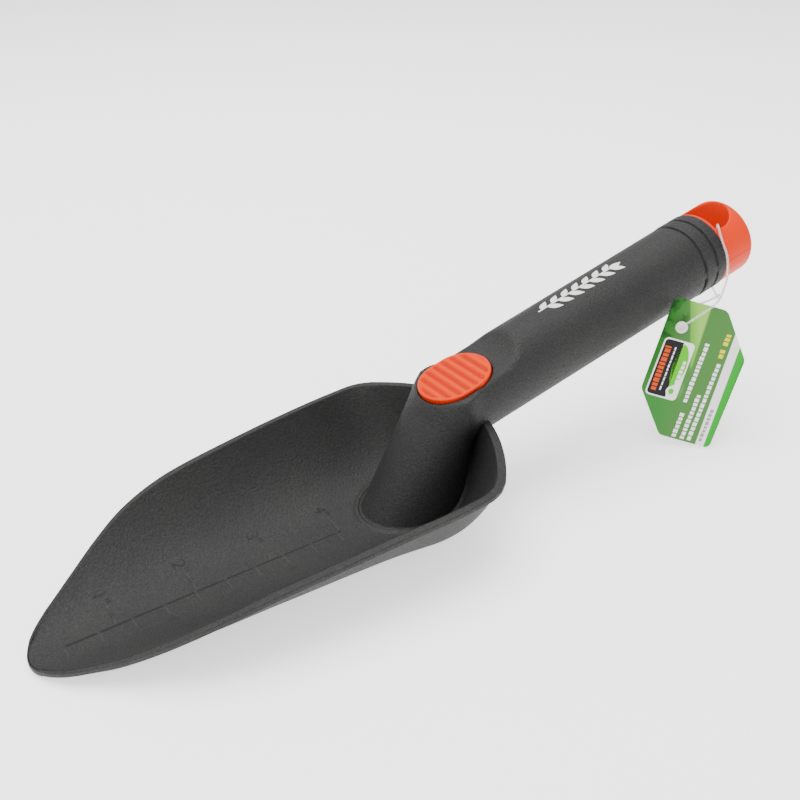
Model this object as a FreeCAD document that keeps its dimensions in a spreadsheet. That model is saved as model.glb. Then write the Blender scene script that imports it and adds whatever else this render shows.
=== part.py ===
"""Hand trowel with a moulded scoop, a ribbed thumb rest, an end cap and a hang tag.

Millimetres. +X runs from the tip of the scoop to the end of the handle, +Z is up, and the
XZ plane is the plane of symmetry. The design frame has its zero at the tip, on the scoop's
inner floor; at() moves it so that the part's origin is under its middle, on the surface
that the scoop rests on.
"""
import FreeCAD, Part
import math
import os

import Sketcher

doc = FreeCAD.newDocument("hand_trowel")
V = FreeCAD.Vector

# ---------------------------------------------------------------- driving dimensions
SIZES = {
    # scoop
    "wall": 2.3,                 # moulded wall of the scoop
    "bead_depth": 1.7,           # height of the rim bead
    "tip_width": 15.2,           # half width, 10 mm behind the tip
    "rear_end": 155.0,           # rear rim on the centre line
    "rear_bow": 0.0098,          # how the rear rim curves forward with the width
    "rear_wall_run": 28.0,       # how far the rear wall takes to curve up from the floor
    # neck
    "neck_foot_x": 131.5,        # centre of its oval foot, at the scoop's floor
    "neck_foot_along": 19.8,     # half axes of the foot
    "neck_foot_over": 15.6,
    "neck_top_x": 142.8,         # its oval top is level with the centre of the bend
    "neck_top_along": 9.8,
    # handle
    "handle_tilt": 13.4,         # degrees above the scoop's floor
    "seam_x": 264.0,             # where the handle meets the end cap, on the handle's axis
    "seam_z": 62.2,
    "handle_length": 121.3,      # from the centre of the bend to the seam
    "bend_radius": 13.9,
    "elbow_radius": 12.6,        # the ball that fills the bend, a little up the handle
    "elbow_run": 1.5,
    "grip_radius": 14.9,         # at the first ring groove
    "collar_radius": 15.1,
    "groove_one": 10.9,          # both grooves, from the seam
    "groove_two": 4.9,
    "groove_width": 1.1,
    "groove_depth": 0.7,
    "bore_radius": 11.3,
    "bore_depth": 94.0,
    # thumb rest
    "thumb_x": 148.3,
    "thumb_z": 43.3,             # the flat that the thumb rest is let into
    "thumb_tilt": 15.4,
    "thumb_length": 26.2,
    "thumb_width": 21.4,
    "thumb_proud": 1.1,
    "thumb_sunk": 2.2,
    "thumb_gap": 0.25,
    "rib_pitch": 3.7,
    "rib_depth": 0.5,
    "peg_radius": 2.0,
    "peg_length": 3.5,
    # end cap
    "cap_radius": 14.8,
    "cap_length": 15.8,
    "cap_round": 2.4,
    "spigot_radius": 11.25,
    "spigot_length": 14.0,
    "spigot_bore": 9.2,
    "hole_near": 1.5,            # the hanging hole's flat side, from the seam
    "hole_half_width": 9.1,
    "hole_straight": 3.4,
    # hang tag
    "tag_width": 32.0,
    "tag_length": 52.6,
    "tag_thickness": 0.6,
    "tag_cut_across": 12.5,
    "tag_cut_along": 16.0,
    "tag_hole_across": 5.6,
    "tag_hole_down": 9.8,
    "tag_hole_radius": 1.5,
    "lock_radius": 2.2,
    "lock_thickness": 1.5,
    "lock_round": 0.4,           # rounding of its front edge
    "lock_gap": 1.3,             # between the tag and the head
    "loop_diameter": 0.8,
}

sheet = doc.addObject("Spreadsheet::Sheet", "sizes")
for row, (alias, value) in enumerate(SIZES.items(), start=1):
    sheet.set("A%d" % row, alias)
    sheet.set("B%d" % row, str(value))
    sheet.setAlias("B%d" % row, alias)
doc.recompute()


def size(alias):
    """A driving dimension, read back from the sheet."""
    return float(sheet.get(alias))


def bind(obj, prop, formula):
    """Bind a property to the sheet; # in the formula stands for the sheet's name."""
    obj.setExpression(prop, formula.replace("#", "sizes."))


# ---------------------------------------------------------------- the part's frame
TILT = math.radians(size("handle_tilt"))
ALONG = V(math.cos(TILT), 0, math.sin(TILT))
ACROSS = V(-math.sin(TILT), 0, math.cos(TILT))
CAP_CENTRE = size("cap_length") - size("cap_round")
OVERALL = (size("seam_x") + CAP_CENTRE * math.cos(TILT) + size("cap_round")
           + (size("cap_radius") - size("cap_round")) * math.sin(TILT))
ORIGIN = V(-OVERALL / 2, 0, size("wall") + 0.012)


def at(x, y, z):
    """A point of the design frame, in the part's frame."""
    return V(x, y, z) + ORIGIN


def on_handle(run, y, rise):
    """A point by its run along the handle's axis from the seam, its y and its rise above."""
    return at(size("seam_x"), y, size("seam_z")) + ALONG * run + ACROSS * rise


def turned(degrees, axis=V(0, 1, 0)):
    return FreeCAD.Rotation(axis, degrees)


# ---------------------------------------------------------------- scoop
TIP_SIDE = 2.4                   # where the rim's sides take over from the tip
CORNER_X = 139.2                 # where they give way to the rear rim
CORNER_Y = 38.6
HALF_WIDTH = [(10, 15.2), (20, 22.3), (30, 28.3), (40, 32.9), (50, 35.8), (60, 37.5),
              (80, 39.6), (100, 41.2), (122, 42.5), (130, 42.4), (135, 41.3),
              (CORNER_X, CORNER_Y)]
RIM_HEIGHT = [(0, 0.3), (10, 3.3), (20, 6.7), (30, 11.0), (40, 15.2), (50, 18.2),
              (60, 20.3), (80, 22.6), (100, 24.5), (120, 25.9), (135, 27.3), (145, 29.6),
              (156, 33.5)]
DISH_POWER = [(0, 2.2), (30, 2.3), (60, 2.6), (100, 2.9), (122, 3.6), (140, 4.8), (156, 4.8)]
ALONG_STEPS = 24
OVER_STEPS = 18


def ease(stations, x):
    """Monotone cubic through the stations."""
    xs = [station[0] for station in stations]
    ys = [station[1] for station in stations]
    count = len(xs)
    steps = [(ys[i + 1] - ys[i]) / (xs[i + 1] - xs[i]) for i in range(count - 1)]

    def slope(i):
        if i == 0 or i == count - 1:
            return steps[min(i, count - 2)]
        if steps[i - 1] * steps[i] <= 0:
            return 0.0
        return 2 * steps[i - 1] * steps[i] / (steps[i - 1] + steps[i])

    if x <= xs[0]:
        return ys[0]
    if x >= xs[-1]:
        return ys[-1]
    i = max(k for k in range(count - 1) if xs[k] <= x)
    run = xs[i + 1] - xs[i]
    t = (x - xs[i]) / run
    return (ys[i] * (1 + 2 * t) * (1 - t) ** 2 + slope(i) * run * t * (1 - t) ** 2
            + ys[i + 1] * t * t * (3 - 2 * t) - slope(i + 1) * run * t * t * (1 - t))


def half_width(x):
    """Half the width of the rim's outer edge."""
    if x < 10:
        return size("tip_width") * math.sqrt(max(0.0, x) / 10)
    return ease(HALF_WIDTH, x)


def rear_rim(y):
    """The rear rim's outer edge, bowed, and rounded off into the sides."""
    corner = size("rear_end") - size("rear_bow") * CORNER_Y ** 2
    return size("rear_end") - size("rear_bow") * y * y - (corner - CORNER_X) * (y / CORNER_Y) ** 6


def rim_width(x):
    """Width of the rim's flat top, which is narrow at the tip."""
    return 1.0 + 1.7 * min(1.0, x / 60)


def plan_point(along, over, inset):
    """A point of the plan by its share of the way along and over it, with the rim inset."""
    side_x = TIP_SIDE + (CORNER_X - TIP_SIDE) * along
    y = over * (half_width(side_x) - inset * (1 - 0.25 * along ** 8))
    tip_x = TIP_SIDE * over * over + inset * 0.5
    rear_x = rear_rim(over * CORNER_Y) - inset * (1 - 0.25 * over ** 8)
    return tip_x + (rear_x - tip_x) * along, y


def dish_point(along, over, inset):
    """A point of the scoop's inner surface."""
    x, y = plan_point(along, over, inset)
    start = 1 - size("rear_wall_run") / (size("rear_end") - TIP_SIDE)
    rear = max(0.0, (along - start) / (1 - start))
    free = (1 - abs(over) ** 2) * (1 - rear ** 2)
    reach = math.sqrt(1 - free)
    return at(x, y, ease(RIM_HEIGHT, x) * reach ** ease(DISH_POWER, x))


def spread(count):
    """Steps from 0 to 1 that are closer together at both ends."""
    return [0.5 - 0.5 * math.cos(math.pi * i / count) for i in range(count + 1)]


def skin_rows(inset_share, depth):
    """Rows of points on a surface of the scoop, depth below the inner one."""
    rows = []
    for along in spread(ALONG_STEPS):
        inset = inset_share * rim_width(along * CORNER_X)
        row = []
        for share in spread(OVER_STEPS):
            over = 2 * share - 1
            point = dish_point(along, over, inset)
            if depth:
                step = 0.002
                here = min(max(along, step), 1 - step)
                there = min(max(over, step - 1), 1 - step)
                forward = (dish_point(here + step, there, inset)
                           - dish_point(here - step, there, inset))
                sideways = (dish_point(here, there + step, inset)
                            - dish_point(here, there - step, inset))
                normal = forward.cross(sideways)
                normal.normalize()
                tip_share = max(0.0, 1 - along / 0.12)
                normal = normal * (1 - tip_share) + V(0, 0, 1) * tip_share
                point = point - normal * depth
            row.append(point)
        rows.append(row)
    return rows


def skin(rows):
    """A smooth face through rows of points."""
    surface = Part.BSplineSurface()
    surface.interpolate(rows)
    return surface.toShape()


def ring(rows):
    """The four sides of a grid of points: tip, left, rear and right."""
    return [rows[0], [row[-1] for row in rows], rows[-1], [row[0] for row in rows]]


def curve(points):
    """A smooth edge through points."""
    line = Part.BSplineCurve()
    line.interpolate(points)
    return line.toShape()


def edge_through(face, points):
    """The edge of a face that passes the middle one of the points."""
    middle = Part.Vertex(points[len(points) // 2])
    return min(face.Edges, key=lambda edge: edge.distToShape(middle)[0])


def strip(first, second):
    """The narrow face between two edges: of its two senses, the one that isn't twisted."""
    both = [Part.makeRuledSurface(first, second, sense) for sense in (1, 2)]
    return min(both, key=lambda face: face.Area)


def blade_shape():
    """The scoop: a wall of even thickness with a bead round its rim, sewn from its faces."""
    inner_rows = skin_rows(1.0, 0.0)
    outer_rows = skin_rows(1.0, size("wall"))
    inner = skin(inner_rows)
    outer = skin(outer_rows)
    faces = [inner, outer]
    sides = zip(ring(inner_rows), ring(skin_rows(0.0, 0.0)), ring(outer_rows))
    for inner_side, rim_side, outer_side in sides:
        top = [V(rim.x, rim.y, edge.z) for rim, edge in zip(rim_side, inner_side)]
        low = [V(rim.x, rim.y, edge.z - size("bead_depth"))
               for rim, edge in zip(rim_side, inner_side)]
        top_edge = curve(top)
        low_edge = curve(low)
        faces.append(strip(edge_through(inner, inner_side), top_edge))
        faces.append(strip(top_edge, low_edge))
        faces.append(strip(low_edge, edge_through(outer, outer_side)))
    shell = Part.Shell(faces)
    shell.sewShape()
    solid = Part.Solid(shell)
    if solid.Volume < 0:
        solid.reverse()
    return solid


def space_shape():
    """The room over the scoop, from the middle of its wall up."""
    low_rows = skin_rows(1.0, size("wall") / 2)
    high_rows = [[V(point.x, point.y, 60) for point in row] for row in low_rows]
    faces = [skin(low_rows), skin(high_rows)]
    for low_side, high_side in zip(ring(low_rows), ring(high_rows)):
        faces.append(strip(edge_through(faces[0], low_side), edge_through(faces[1], high_side)))
    shell = Part.Shell(faces)
    shell.sewShape()
    solid = Part.Solid(shell)
    if solid.Volume < 0:
        solid.reverse()
    return solid


blade = doc.addObject("Part::Feature", "blade")
blade.Shape = blade_shape()
space = doc.addObject("Part::Feature", "space_over_scoop")
space.Shape = space_shape()

# ---------------------------------------------------------------- neck and bend


def neck_section(name, height, share):
    """The neck's level oval section, at a share of the way from its foot to its top."""
    centre, along, over = (size(foot) + (size(top) - size(foot)) * share for foot, top in (
        ("neck_foot_x", "neck_top_x"), ("neck_foot_along", "neck_top_along"),
        ("neck_foot_over", "bend_radius")))
    grow = FreeCAD.Matrix()
    grow.scale(along, over, 1)
    section = doc.addObject("Part::Feature", name)
    section.Shape = Part.Wire(Part.makeCircle(1.0)).transformGeometry(grow)
    section.Placement = FreeCAD.Placement(at(centre, 0, height), turned(0))
    return section


BEND = on_handle(-size("handle_length"), 0, 0)
NECK_HEIGHT = BEND.z - ORIGIN.z
NECK_START = -1.5                # inside the scoop's wall, under the floor's surface
NECK_END = NECK_HEIGHT + 11      # above the thumb rest's flat, which cuts it off
cone = doc.addObject("Part::Loft", "neck_cone")
cone.Sections = [neck_section("neck_foot", NECK_START, NECK_START / NECK_HEIGHT),
                 neck_section("neck_top", NECK_END, NECK_END / NECK_HEIGHT)]
cone.Solid = True
cone.Ruled = True
neck = doc.addObject("Part::MultiCommon", "neck")
neck.Shapes = [cone, space]
bend = doc.addObject("Part::Sphere", "bend")
bind(bend, "Radius", "#elbow_radius")
bend.Placement = FreeCAD.Placement(BEND + ALONG * size("elbow_run"), turned(0))

# ---------------------------------------------------------------- sketch helpers


def sketch_in(body, name, plane):
    """A sketch on one of the body's own origin planes."""
    sketch = body.newObject("Sketcher::SketchObject", name)
    planes = [item for item in body.Origin.OriginFeatures if item.Role == plane]
    sketch.AttachmentSupport = [(planes[0], "")]
    sketch.MapMode = "FlatFace"
    return sketch


def value_of(formula):
    """The number that a formula of sheet aliases gives now."""
    probe = doc.addObject("App::FeaturePython", "probe")
    probe.addProperty("App::PropertyFloat", "Value")
    bind(probe, "Value", formula)
    doc.recompute()
    value = probe.Value
    doc.removeObject(probe.Name)
    return value


def outline(sketch, corners):
    """A closed outline of straight lines, every corner held by formulas of the sheet."""
    spots = [V(value_of(x), value_of(y), 0) for x, y in corners]
    count = len(spots)
    for i in range(count):
        sketch.addGeometry(Part.LineSegment(spots[i], spots[(i + 1) % count]), False)
    for i in range(count):
        sketch.addConstraint(Sketcher.Constraint("Coincident", i, 2, (i + 1) % count, 1))
    for i, (x, y) in enumerate(corners):
        for kind, formula, axis, now in (("DistanceX", x, -2, spots[i].x),
                                         ("DistanceY", y, -1, spots[i].y)):
            if formula == "0":
                sketch.addConstraint(Sketcher.Constraint("PointOnObject", i, 1, axis))
            else:
                item = sketch.addConstraint(Sketcher.Constraint(kind, -1, 1, i, 1, now))
                bind(sketch, "Constraints[%d]" % item, formula)


def disc(sketch, x, y, radius):
    """A circle whose radius is a formula of the sheet."""
    item = sketch.addGeometry(Part.Circle(V(x, y, 0), V(0, 0, 1), value_of(radius)), False)
    held = sketch.addConstraint(Sketcher.Constraint("Radius", item, value_of(radius)))
    bind(sketch, "Constraints[%d]" % held, radius)
    return item


def pad(body, sketch, length, down=False):
    feature = body.newObject("PartDesign::Pad", sketch.Name + "_pad")
    feature.Profile = sketch
    bind(feature, "Length", length)
    feature.Reversed = down
    return feature


def pocket_through(body, sketch):
    """A pocket to both sides of its sketch, through everything."""
    feature = body.newObject("PartDesign::Pocket", sketch.Name + "_pocket")
    feature.Profile = sketch
    feature.Type = "Length"
    feature.Midplane = True
    feature.Length = 80
    return feature


def revolve(body, sketch):
    feature = body.newObject("PartDesign::Revolution", sketch.Name + "_turned")
    feature.Profile = sketch
    feature.ReferenceAxis = (sketch, ["H_Axis"])
    feature.Angle = 360
    return feature


def stadium(sketch, length, width):
    """A slot outline along X, centred on the origin, from formulas of the sheet."""
    radius = value_of(width) / 2
    reach = value_of(length) / 2 - radius
    half = math.pi / 2
    sketch.addGeometry(Part.ArcOfCircle(Part.Circle(V(reach, 0, 0), V(0, 0, 1), radius),
                                        -half, half), False)
    sketch.addGeometry(Part.LineSegment(V(reach, radius, 0), V(-reach, radius, 0)), False)
    sketch.addGeometry(Part.ArcOfCircle(Part.Circle(V(-reach, 0, 0), V(0, 0, 1), radius),
                                        half, 3 * half), False)
    sketch.addGeometry(Part.LineSegment(V(-reach, -radius, 0), V(reach, -radius, 0)), False)
    for first, second in ((0, 1), (1, 2), (2, 3), (3, 0)):
        sketch.addConstraint(Sketcher.Constraint("Tangent", first, 2, second, 1))
    sketch.addConstraint(Sketcher.Constraint("PointOnObject", 0, 3, -1))
    sketch.addConstraint(Sketcher.Constraint("Symmetric", 0, 3, 2, 3, -1, 1))
    held = sketch.addConstraint(Sketcher.Constraint("Radius", 0, radius))
    bind(sketch, "Constraints[%d]" % held, "(" + width + ") / 2")
    held = sketch.addConstraint(Sketcher.Constraint("DistanceX", 2, 3, 0, 3, 2 * reach))
    bind(sketch, "Constraints[%d]" % held, "(" + length + ") - (" + width + ")")


# ---------------------------------------------------------------- handle
handle = doc.addObject("PartDesign::Body", "handle")
handle_profile = sketch_in(handle, "handle_profile", "XZ_Plane")
groove_lines = [("0", "0"), ("0", "#bend_radius")]
for groove in ("#groove_one", "#groove_two"):
    front = "#handle_length - " + groove + " - #groove_width / 2"
    back = "#handle_length - " + groove + " + #groove_width / 2"
    outer = "#grip_radius" if groove == "#groove_one" else "#collar_radius"
    groove_lines += [(front, outer), (front, "#grip_radius - #groove_depth"),
                     (back, "#grip_radius - #groove_depth"), (back, "#collar_radius")]
groove_lines += [("#handle_length", "#collar_radius"), ("#handle_length", "#bore_radius"),
                 ("#handle_length - #bore_depth", "#bore_radius"),
                 ("#handle_length - #bore_depth - 4", "0")]
outline(handle_profile, groove_lines)
revolve(handle, handle_profile)
handle.Placement = FreeCAD.Placement(BEND, turned(-size("handle_tilt")))

# ---------------------------------------------------------------- thumb rest's seat
THUMB = FreeCAD.Placement(at(size("thumb_x"), 0, size("thumb_z")), turned(-size("thumb_tilt")))
RUNOUT = 13.2                    # from the seat's centre to where its flat begins to rise
RUNOUT_RADIUS = 14.0


def seated(x, y, z):
    """A placement in the thumb rest's own frame, its flat at zero height."""
    return THUMB * FreeCAD.Placement(V(x, y, z), turned(0))


flat = doc.addObject("Part::Box", "thumb_flat")
flat.Length = 30 + RUNOUT
flat.Width = 40
flat.Height = RUNOUT_RADIUS
flat.Placement = seated(-30, -20, 0)
runout = doc.addObject("Part::Cylinder", "thumb_runout")
runout.Radius = RUNOUT_RADIUS
runout.Height = 40
runout.Placement = seated(RUNOUT, 20, RUNOUT_RADIUS) * FreeCAD.Placement(
    V(0, 0, 0), turned(90, V(1, 0, 0)))

recess = doc.addObject("PartDesign::Body", "thumb_recess")
recess_outline = sketch_in(recess, "recess_outline", "XY_Plane")
stadium(recess_outline, "#thumb_length + 2 * #thumb_gap", "#thumb_width + 2 * #thumb_gap")
pad(recess, recess_outline, "#thumb_sunk + 6")
recess.Placement = seated(0, 0, -size("thumb_sunk"))

PEG_PLACES = (-6.5, 6.5)
peg_holes = []
for number, place in enumerate(PEG_PLACES):
    hole = doc.addObject("Part::Cylinder", "peg_hole_%d" % number)
    bind(hole, "Radius", "#peg_radius + 0.05")
    bind(hole, "Height", "#peg_length + 0.6 + #thumb_sunk")
    hole.Placement = seated(place, 0, -size("thumb_sunk") - size("peg_length") - 0.6)
    peg_holes.append(hole)

outside = doc.addObject("Part::MultiFuse", "moulding_outside")
outside.Shapes = [blade, neck, bend, handle]
cutters = doc.addObject("Part::MultiFuse", "moulding_cuts")
cutters.Shapes = [flat, runout, recess] + peg_holes
trowel_body = doc.addObject("Part::Cut", "trowel_body")
trowel_body.Base = outside
trowel_body.Tool = cutters

# ---------------------------------------------------------------- thumb rest
thumb_pad = doc.addObject("PartDesign::Body", "thumb_pad")
pad_outline = sketch_in(thumb_pad, "pad_outline", "XY_Plane")
stadium(pad_outline, "#thumb_length", "#thumb_width")
pad(thumb_pad, pad_outline, "#thumb_sunk + #thumb_proud")
pegs = sketch_in(thumb_pad, "pegs", "XY_Plane")
for place in PEG_PLACES:
    disc(pegs, place, 0, "#peg_radius")
pad(thumb_pad, pegs, "#peg_length", down=True)
VALLEYS = 6
VALLEY_RADIUS = 2.2
valley = sketch_in(thumb_pad, "valley", "XZ_Plane")
valley_height = size("thumb_sunk") + size("thumb_proud") + VALLEY_RADIUS - size("rib_depth")
first_valley = -(VALLEYS - 1) / 2 * size("rib_pitch")
valley.addGeometry(Part.Circle(V(first_valley, valley_height, 0), V(0, 0, 1), VALLEY_RADIUS),
                   False)
valley_cut = pocket_through(thumb_pad, valley)
doc.recompute()
valleys = thumb_pad.newObject("PartDesign::LinearPattern", "valleys")
valleys.Originals = [valley_cut]
valleys.Direction = (pegs, ["H_Axis"])
valleys.Occurrences = VALLEYS
bind(valleys, "Length", "#rib_pitch * %d" % (VALLEYS - 1))
thumb_pad.Tip = valleys
thumb_pad.Placement = seated(0, 0, -size("thumb_sunk"))

# ---------------------------------------------------------------- end cap
end_cap = doc.addObject("PartDesign::Body", "end_cap")
cap_profile = sketch_in(end_cap, "cap_profile", "XZ_Plane")
outline(cap_profile, [
    ("#spigot_length - 1", "0"), ("#spigot_length - 1", "#spigot_bore"),
    ("0", "#spigot_bore"), ("0", "#spigot_radius - 0.6"), ("1.2", "#spigot_radius"),
    ("#spigot_length", "#spigot_radius"), ("#spigot_length", "#cap_radius"),
    ("#spigot_length + #cap_length", "#cap_radius"), ("#spigot_length + #cap_length", "0"),
])
revolve(end_cap, cap_profile)
hole_sketch = sketch_in(end_cap, "hanging_hole", "XY_Plane")
near = size("spigot_length") + size("hole_near")
round_centre = near + size("hole_straight")
half = size("hole_half_width")
hole_sketch.addGeometry(Part.LineSegment(V(near, half, 0), V(near, -half, 0)), False)
hole_sketch.addGeometry(Part.LineSegment(V(near, -half, 0), V(round_centre, -half, 0)), False)
hole_sketch.addGeometry(Part.ArcOfCircle(Part.Circle(V(round_centre, 0, 0), V(0, 0, 1), half),
                                         -math.pi / 2, math.pi / 2), False)
hole_sketch.addGeometry(Part.LineSegment(V(round_centre, half, 0), V(near, half, 0)), False)
for first, second in ((0, 1), (1, 2), (2, 3), (3, 0)):
    hole_sketch.addConstraint(Sketcher.Constraint("Coincident", first, 2, second, 1))
hole_radius = hole_sketch.addConstraint(Sketcher.Constraint("Radius", 2, half))
bind(hole_sketch, "Constraints[%d]" % hole_radius, "#hole_half_width")
cap_hole = pocket_through(end_cap, hole_sketch)
doc.recompute()
rim_edges = []
for number, edge in enumerate(cap_hole.Shape.Edges, start=1):
    box = edge.BoundBox
    if box.XMin > size("spigot_length") + size("cap_length") - 0.01 and box.ZLength > 10:
        rim_edges.append("Edge%d" % number)
cap_fillet = end_cap.newObject("PartDesign::Fillet", "cap_fillet")
cap_fillet.Base = (cap_hole, rim_edges)
bind(cap_fillet, "Radius", "#cap_round")
end_cap.Placement = FreeCAD.Placement(on_handle(-size("spigot_length"), 0, 0),
                                      turned(-size("handle_tilt")))

# ---------------------------------------------------------------- hang tag
TAG_ACROSS = V(0.692, -0.686, -0.226)
TAG_UP = V(0.278, -0.036, 0.960)
TAG_FRONT = TAG_ACROSS.cross(TAG_UP)
TAG_HOLE = at(237.46, -19.09, 45.25)
TAG_FRAME = FreeCAD.Placement(TAG_HOLE, FreeCAD.Rotation(TAG_ACROSS, TAG_UP, TAG_FRONT, "ZXY"))

hang_tag = doc.addObject("PartDesign::Body", "hang_tag")
tag_outline = sketch_in(hang_tag, "tag_outline", "XY_Plane")
tag_left = "-#tag_hole_across"
tag_right = "#tag_width - #tag_hole_across"
tag_top = "#tag_hole_down"
tag_foot = "#tag_hole_down - #tag_length"
outline(tag_outline, [
    (tag_left, tag_top), (tag_right + " - #tag_cut_across", tag_top),
    (tag_right, tag_top + " - #tag_cut_along"), (tag_right, tag_foot),
    (tag_left + " + #tag_cut_across", tag_foot), (tag_left, tag_foot + " + #tag_cut_along"),
])
disc(tag_outline, 0, 0, "#tag_hole_radius")
pad(hang_tag, tag_outline, "#tag_thickness", down=True)
hang_tag.Placement = TAG_FRAME

# ---------------------------------------------------------------- tag loop and its lock
loop_lock = doc.addObject("PartDesign::Body", "loop_lock")
lock_outline = sketch_in(loop_lock, "lock_outline", "XY_Plane")
disc(lock_outline, 0, 0, "#lock_radius")
lock_disc = pad(loop_lock, lock_outline, "#lock_thickness")
doc.recompute()
front_edges = []
for number, edge in enumerate(lock_disc.Shape.Edges, start=1):
    if edge.BoundBox.ZMin > size("lock_thickness") - 0.01:
        front_edges.append("Edge%d" % number)
lock_edge = loop_lock.newObject("PartDesign::Fillet", "lock_edge")
lock_edge.Base = (lock_disc, front_edges)
bind(lock_edge, "Radius", "#lock_round")
loop_lock.Placement = TAG_FRAME * FreeCAD.Placement(V(0, 0, size("lock_gap")), turned(0))

LOOP_ROUTE = [
    (236.9, -21.1, 46.4), (241.0, -24.3, 50.7), (244.6, -26.8, 54.3), (249.6, -25.2, 55.8),
    (254.4, -22.3, 56.0), (258.6, -19.9, 57.2), (261.8, -17.9, 59.0), (263.3, -16.3, 61.9),
    (262.4, -15.6, 66.2), (261.2, -14.1, 70.0), (261.3, -11.8, 73.5), (262.6, -9.2, 75.9),
    (265.2, -7.3, 74.6), (266.8, -6.0, 70.0), (268.2, -5.0, 63.8), (269.8, -4.0, 57.6),
    (271.2, -2.9, 51.5), (270.8, -6.4, 46.6), (267.6, -12.0, 45.6), (263.4, -15.8, 48.6),
    (258.7, -18.2, 52.2), (254.0, -19.9, 52.6), (249.0, -20.8, 53.0), (243.5, -17.6, 50.6),
    (241.0, -15.8, 46.6), (239.5, -16.9, 44.7), (236.1, -20.5, 45.6),
]


def cord_path(points):
    """Straight runs joined by tangent arcs, as large as the two runs allow."""
    count = len(points)
    runs = [(points[i + 1] - points[i]).Length for i in range(count - 1)]
    starts = [points[0]]
    edges = []
    radii = []
    for i in range(1, count - 1):
        into = (points[i] - points[i - 1]).normalize()
        out = (points[i + 1] - points[i]).normalize()
        turn = into.getAngle(out)
        reach = 0.45 * min(runs[i - 1], runs[i])
        radius = reach / math.tan(turn / 2)
        first = points[i] - into * reach
        last = points[i] + out * reach
        toward = (out - into).normalize()
        middle = points[i] + toward * (radius / math.cos(turn / 2) - radius)
        edges.append(Part.LineSegment(starts[-1], first).toShape())
        edges.append(Part.Arc(first, middle, last).toShape())
        starts.append(last)
        radii.append(radius)
    edges.append(Part.LineSegment(starts[-1], points[-1]).toShape())
    return Part.Wire(edges), radii, runs


loop_wire, loop_radii, loop_runs = cord_path([at(*point) for point in LOOP_ROUTE])
loop_start = loop_wire.Edges[0].tangentAt(loop_wire.Edges[0].FirstParameter)
loop_section = Part.Wire(Part.makeCircle(size("loop_diameter") / 2, at(*LOOP_ROUTE[0]),
                                         loop_start))
tag_loop = doc.addObject("Part::Feature", "tag_loop")
tag_loop.Shape = loop_wire.makePipeShell([loop_section], True, False)
expected = math.pi * (size("loop_diameter") / 2) ** 2 * loop_wire.Length
print("tag_loop: length %.1f, volume %.2f of %.2f, least radius %.2f, runs %.1f to %.1f" % (
    loop_wire.Length, tag_loop.Shape.Volume, expected, min(loop_radii), min(loop_runs),
    max(loop_runs)))
print("tag_loop radii:", " ".join("%.1f" % radius for radius in loop_radii))

# ---------------------------------------------------------------- check and export
doc.recompute()
NODES = [trowel_body, thumb_pad, end_cap, hang_tag, tag_loop, loop_lock]
for item in doc.Objects:
    for state in ("Invalid", "Error"):
        if state in item.State:
            raise RuntimeError(item.Name + " is " + state)
for node in NODES:
    if node.Shape.isNull() or not node.Shape.isValid():
        raise RuntimeError(node.Name + " has no valid shape")

os.makedirs("parts", exist_ok=True)
for node in NODES:
    node.Label = node.Name
    node.Shape.exportStep("parts/" + node.Name + ".step")
    box = node.Shape.BoundBox
    print("%-12s solids %d volume %8.1f  x %.1f..%.1f y %.1f..%.1f z %.2f..%.1f" % (
        node.Name, len(node.Shape.Solids), node.Shape.Volume, box.XMin, box.XMax, box.YMin,
        box.YMax, box.ZMin, box.ZMax))
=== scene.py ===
import math

import bpy
import numpy as np
from mathutils import Matrix, Vector
from mathutils.bvhtree import BVHTree


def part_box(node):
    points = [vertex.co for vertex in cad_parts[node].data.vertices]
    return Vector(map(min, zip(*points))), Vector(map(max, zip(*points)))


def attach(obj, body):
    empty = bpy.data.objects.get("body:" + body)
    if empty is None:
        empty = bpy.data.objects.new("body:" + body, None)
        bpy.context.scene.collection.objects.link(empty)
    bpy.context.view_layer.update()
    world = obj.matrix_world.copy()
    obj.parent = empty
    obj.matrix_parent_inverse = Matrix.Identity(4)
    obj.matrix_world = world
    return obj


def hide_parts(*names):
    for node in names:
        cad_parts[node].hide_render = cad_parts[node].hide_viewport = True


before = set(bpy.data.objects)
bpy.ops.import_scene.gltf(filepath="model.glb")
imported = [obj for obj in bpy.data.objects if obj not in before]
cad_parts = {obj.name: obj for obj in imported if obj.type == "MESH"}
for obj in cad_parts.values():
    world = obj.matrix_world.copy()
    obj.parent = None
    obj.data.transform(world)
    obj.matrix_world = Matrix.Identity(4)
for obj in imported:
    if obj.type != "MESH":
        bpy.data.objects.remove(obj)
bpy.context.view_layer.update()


def tilted(degrees):
    """Axes along and above something that rises towards the handle's end."""
    cosine, sine = math.cos(math.radians(degrees)), math.sin(math.radians(degrees))
    return np.array([cosine, 0, sine]), np.array([-sine, 0, cosine])


# The design frame, in millimetres: x from the blade's tip, z from the scoop's floor.
WALL = 2.3
ORIGIN = np.array([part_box("trowel_body")[0][0] * 1000, 0.0, WALL + 0.012])
ALONG, ACROSS = tilted(13.4)
SIDE = np.array([0.0, 1.0, 0.0])
SEAM = np.array([264.0, 0.0, 62.2])
HANDLE_LENGTH = 121.3
BEND = SEAM - ALONG * HANDLE_LENGTH
BEND_RADIUS = 13.9
# The neck's level oval sections: centre, half length along and half width over.
NECK_FOOT = np.array([131.5, 19.8, 15.6])
NECK_TOP = np.array([142.8, 9.8, BEND_RADIUS])
GRIP_RADIUS = 14.9
TAPER_RUN = 110.0
COLLAR_RADIUS = 15.1
BORE_RADIUS = 11.3
CAP_RADIUS = 14.8
# The thumb rest: its middle on the flat round its seat, and how far its ribs stand up.
THUMB = np.array([148.3, 0.0, 43.3])
PAD_PROUD = 1.15
THUMB_ALONG, THUMB_UP = tilted(15.4)


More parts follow.
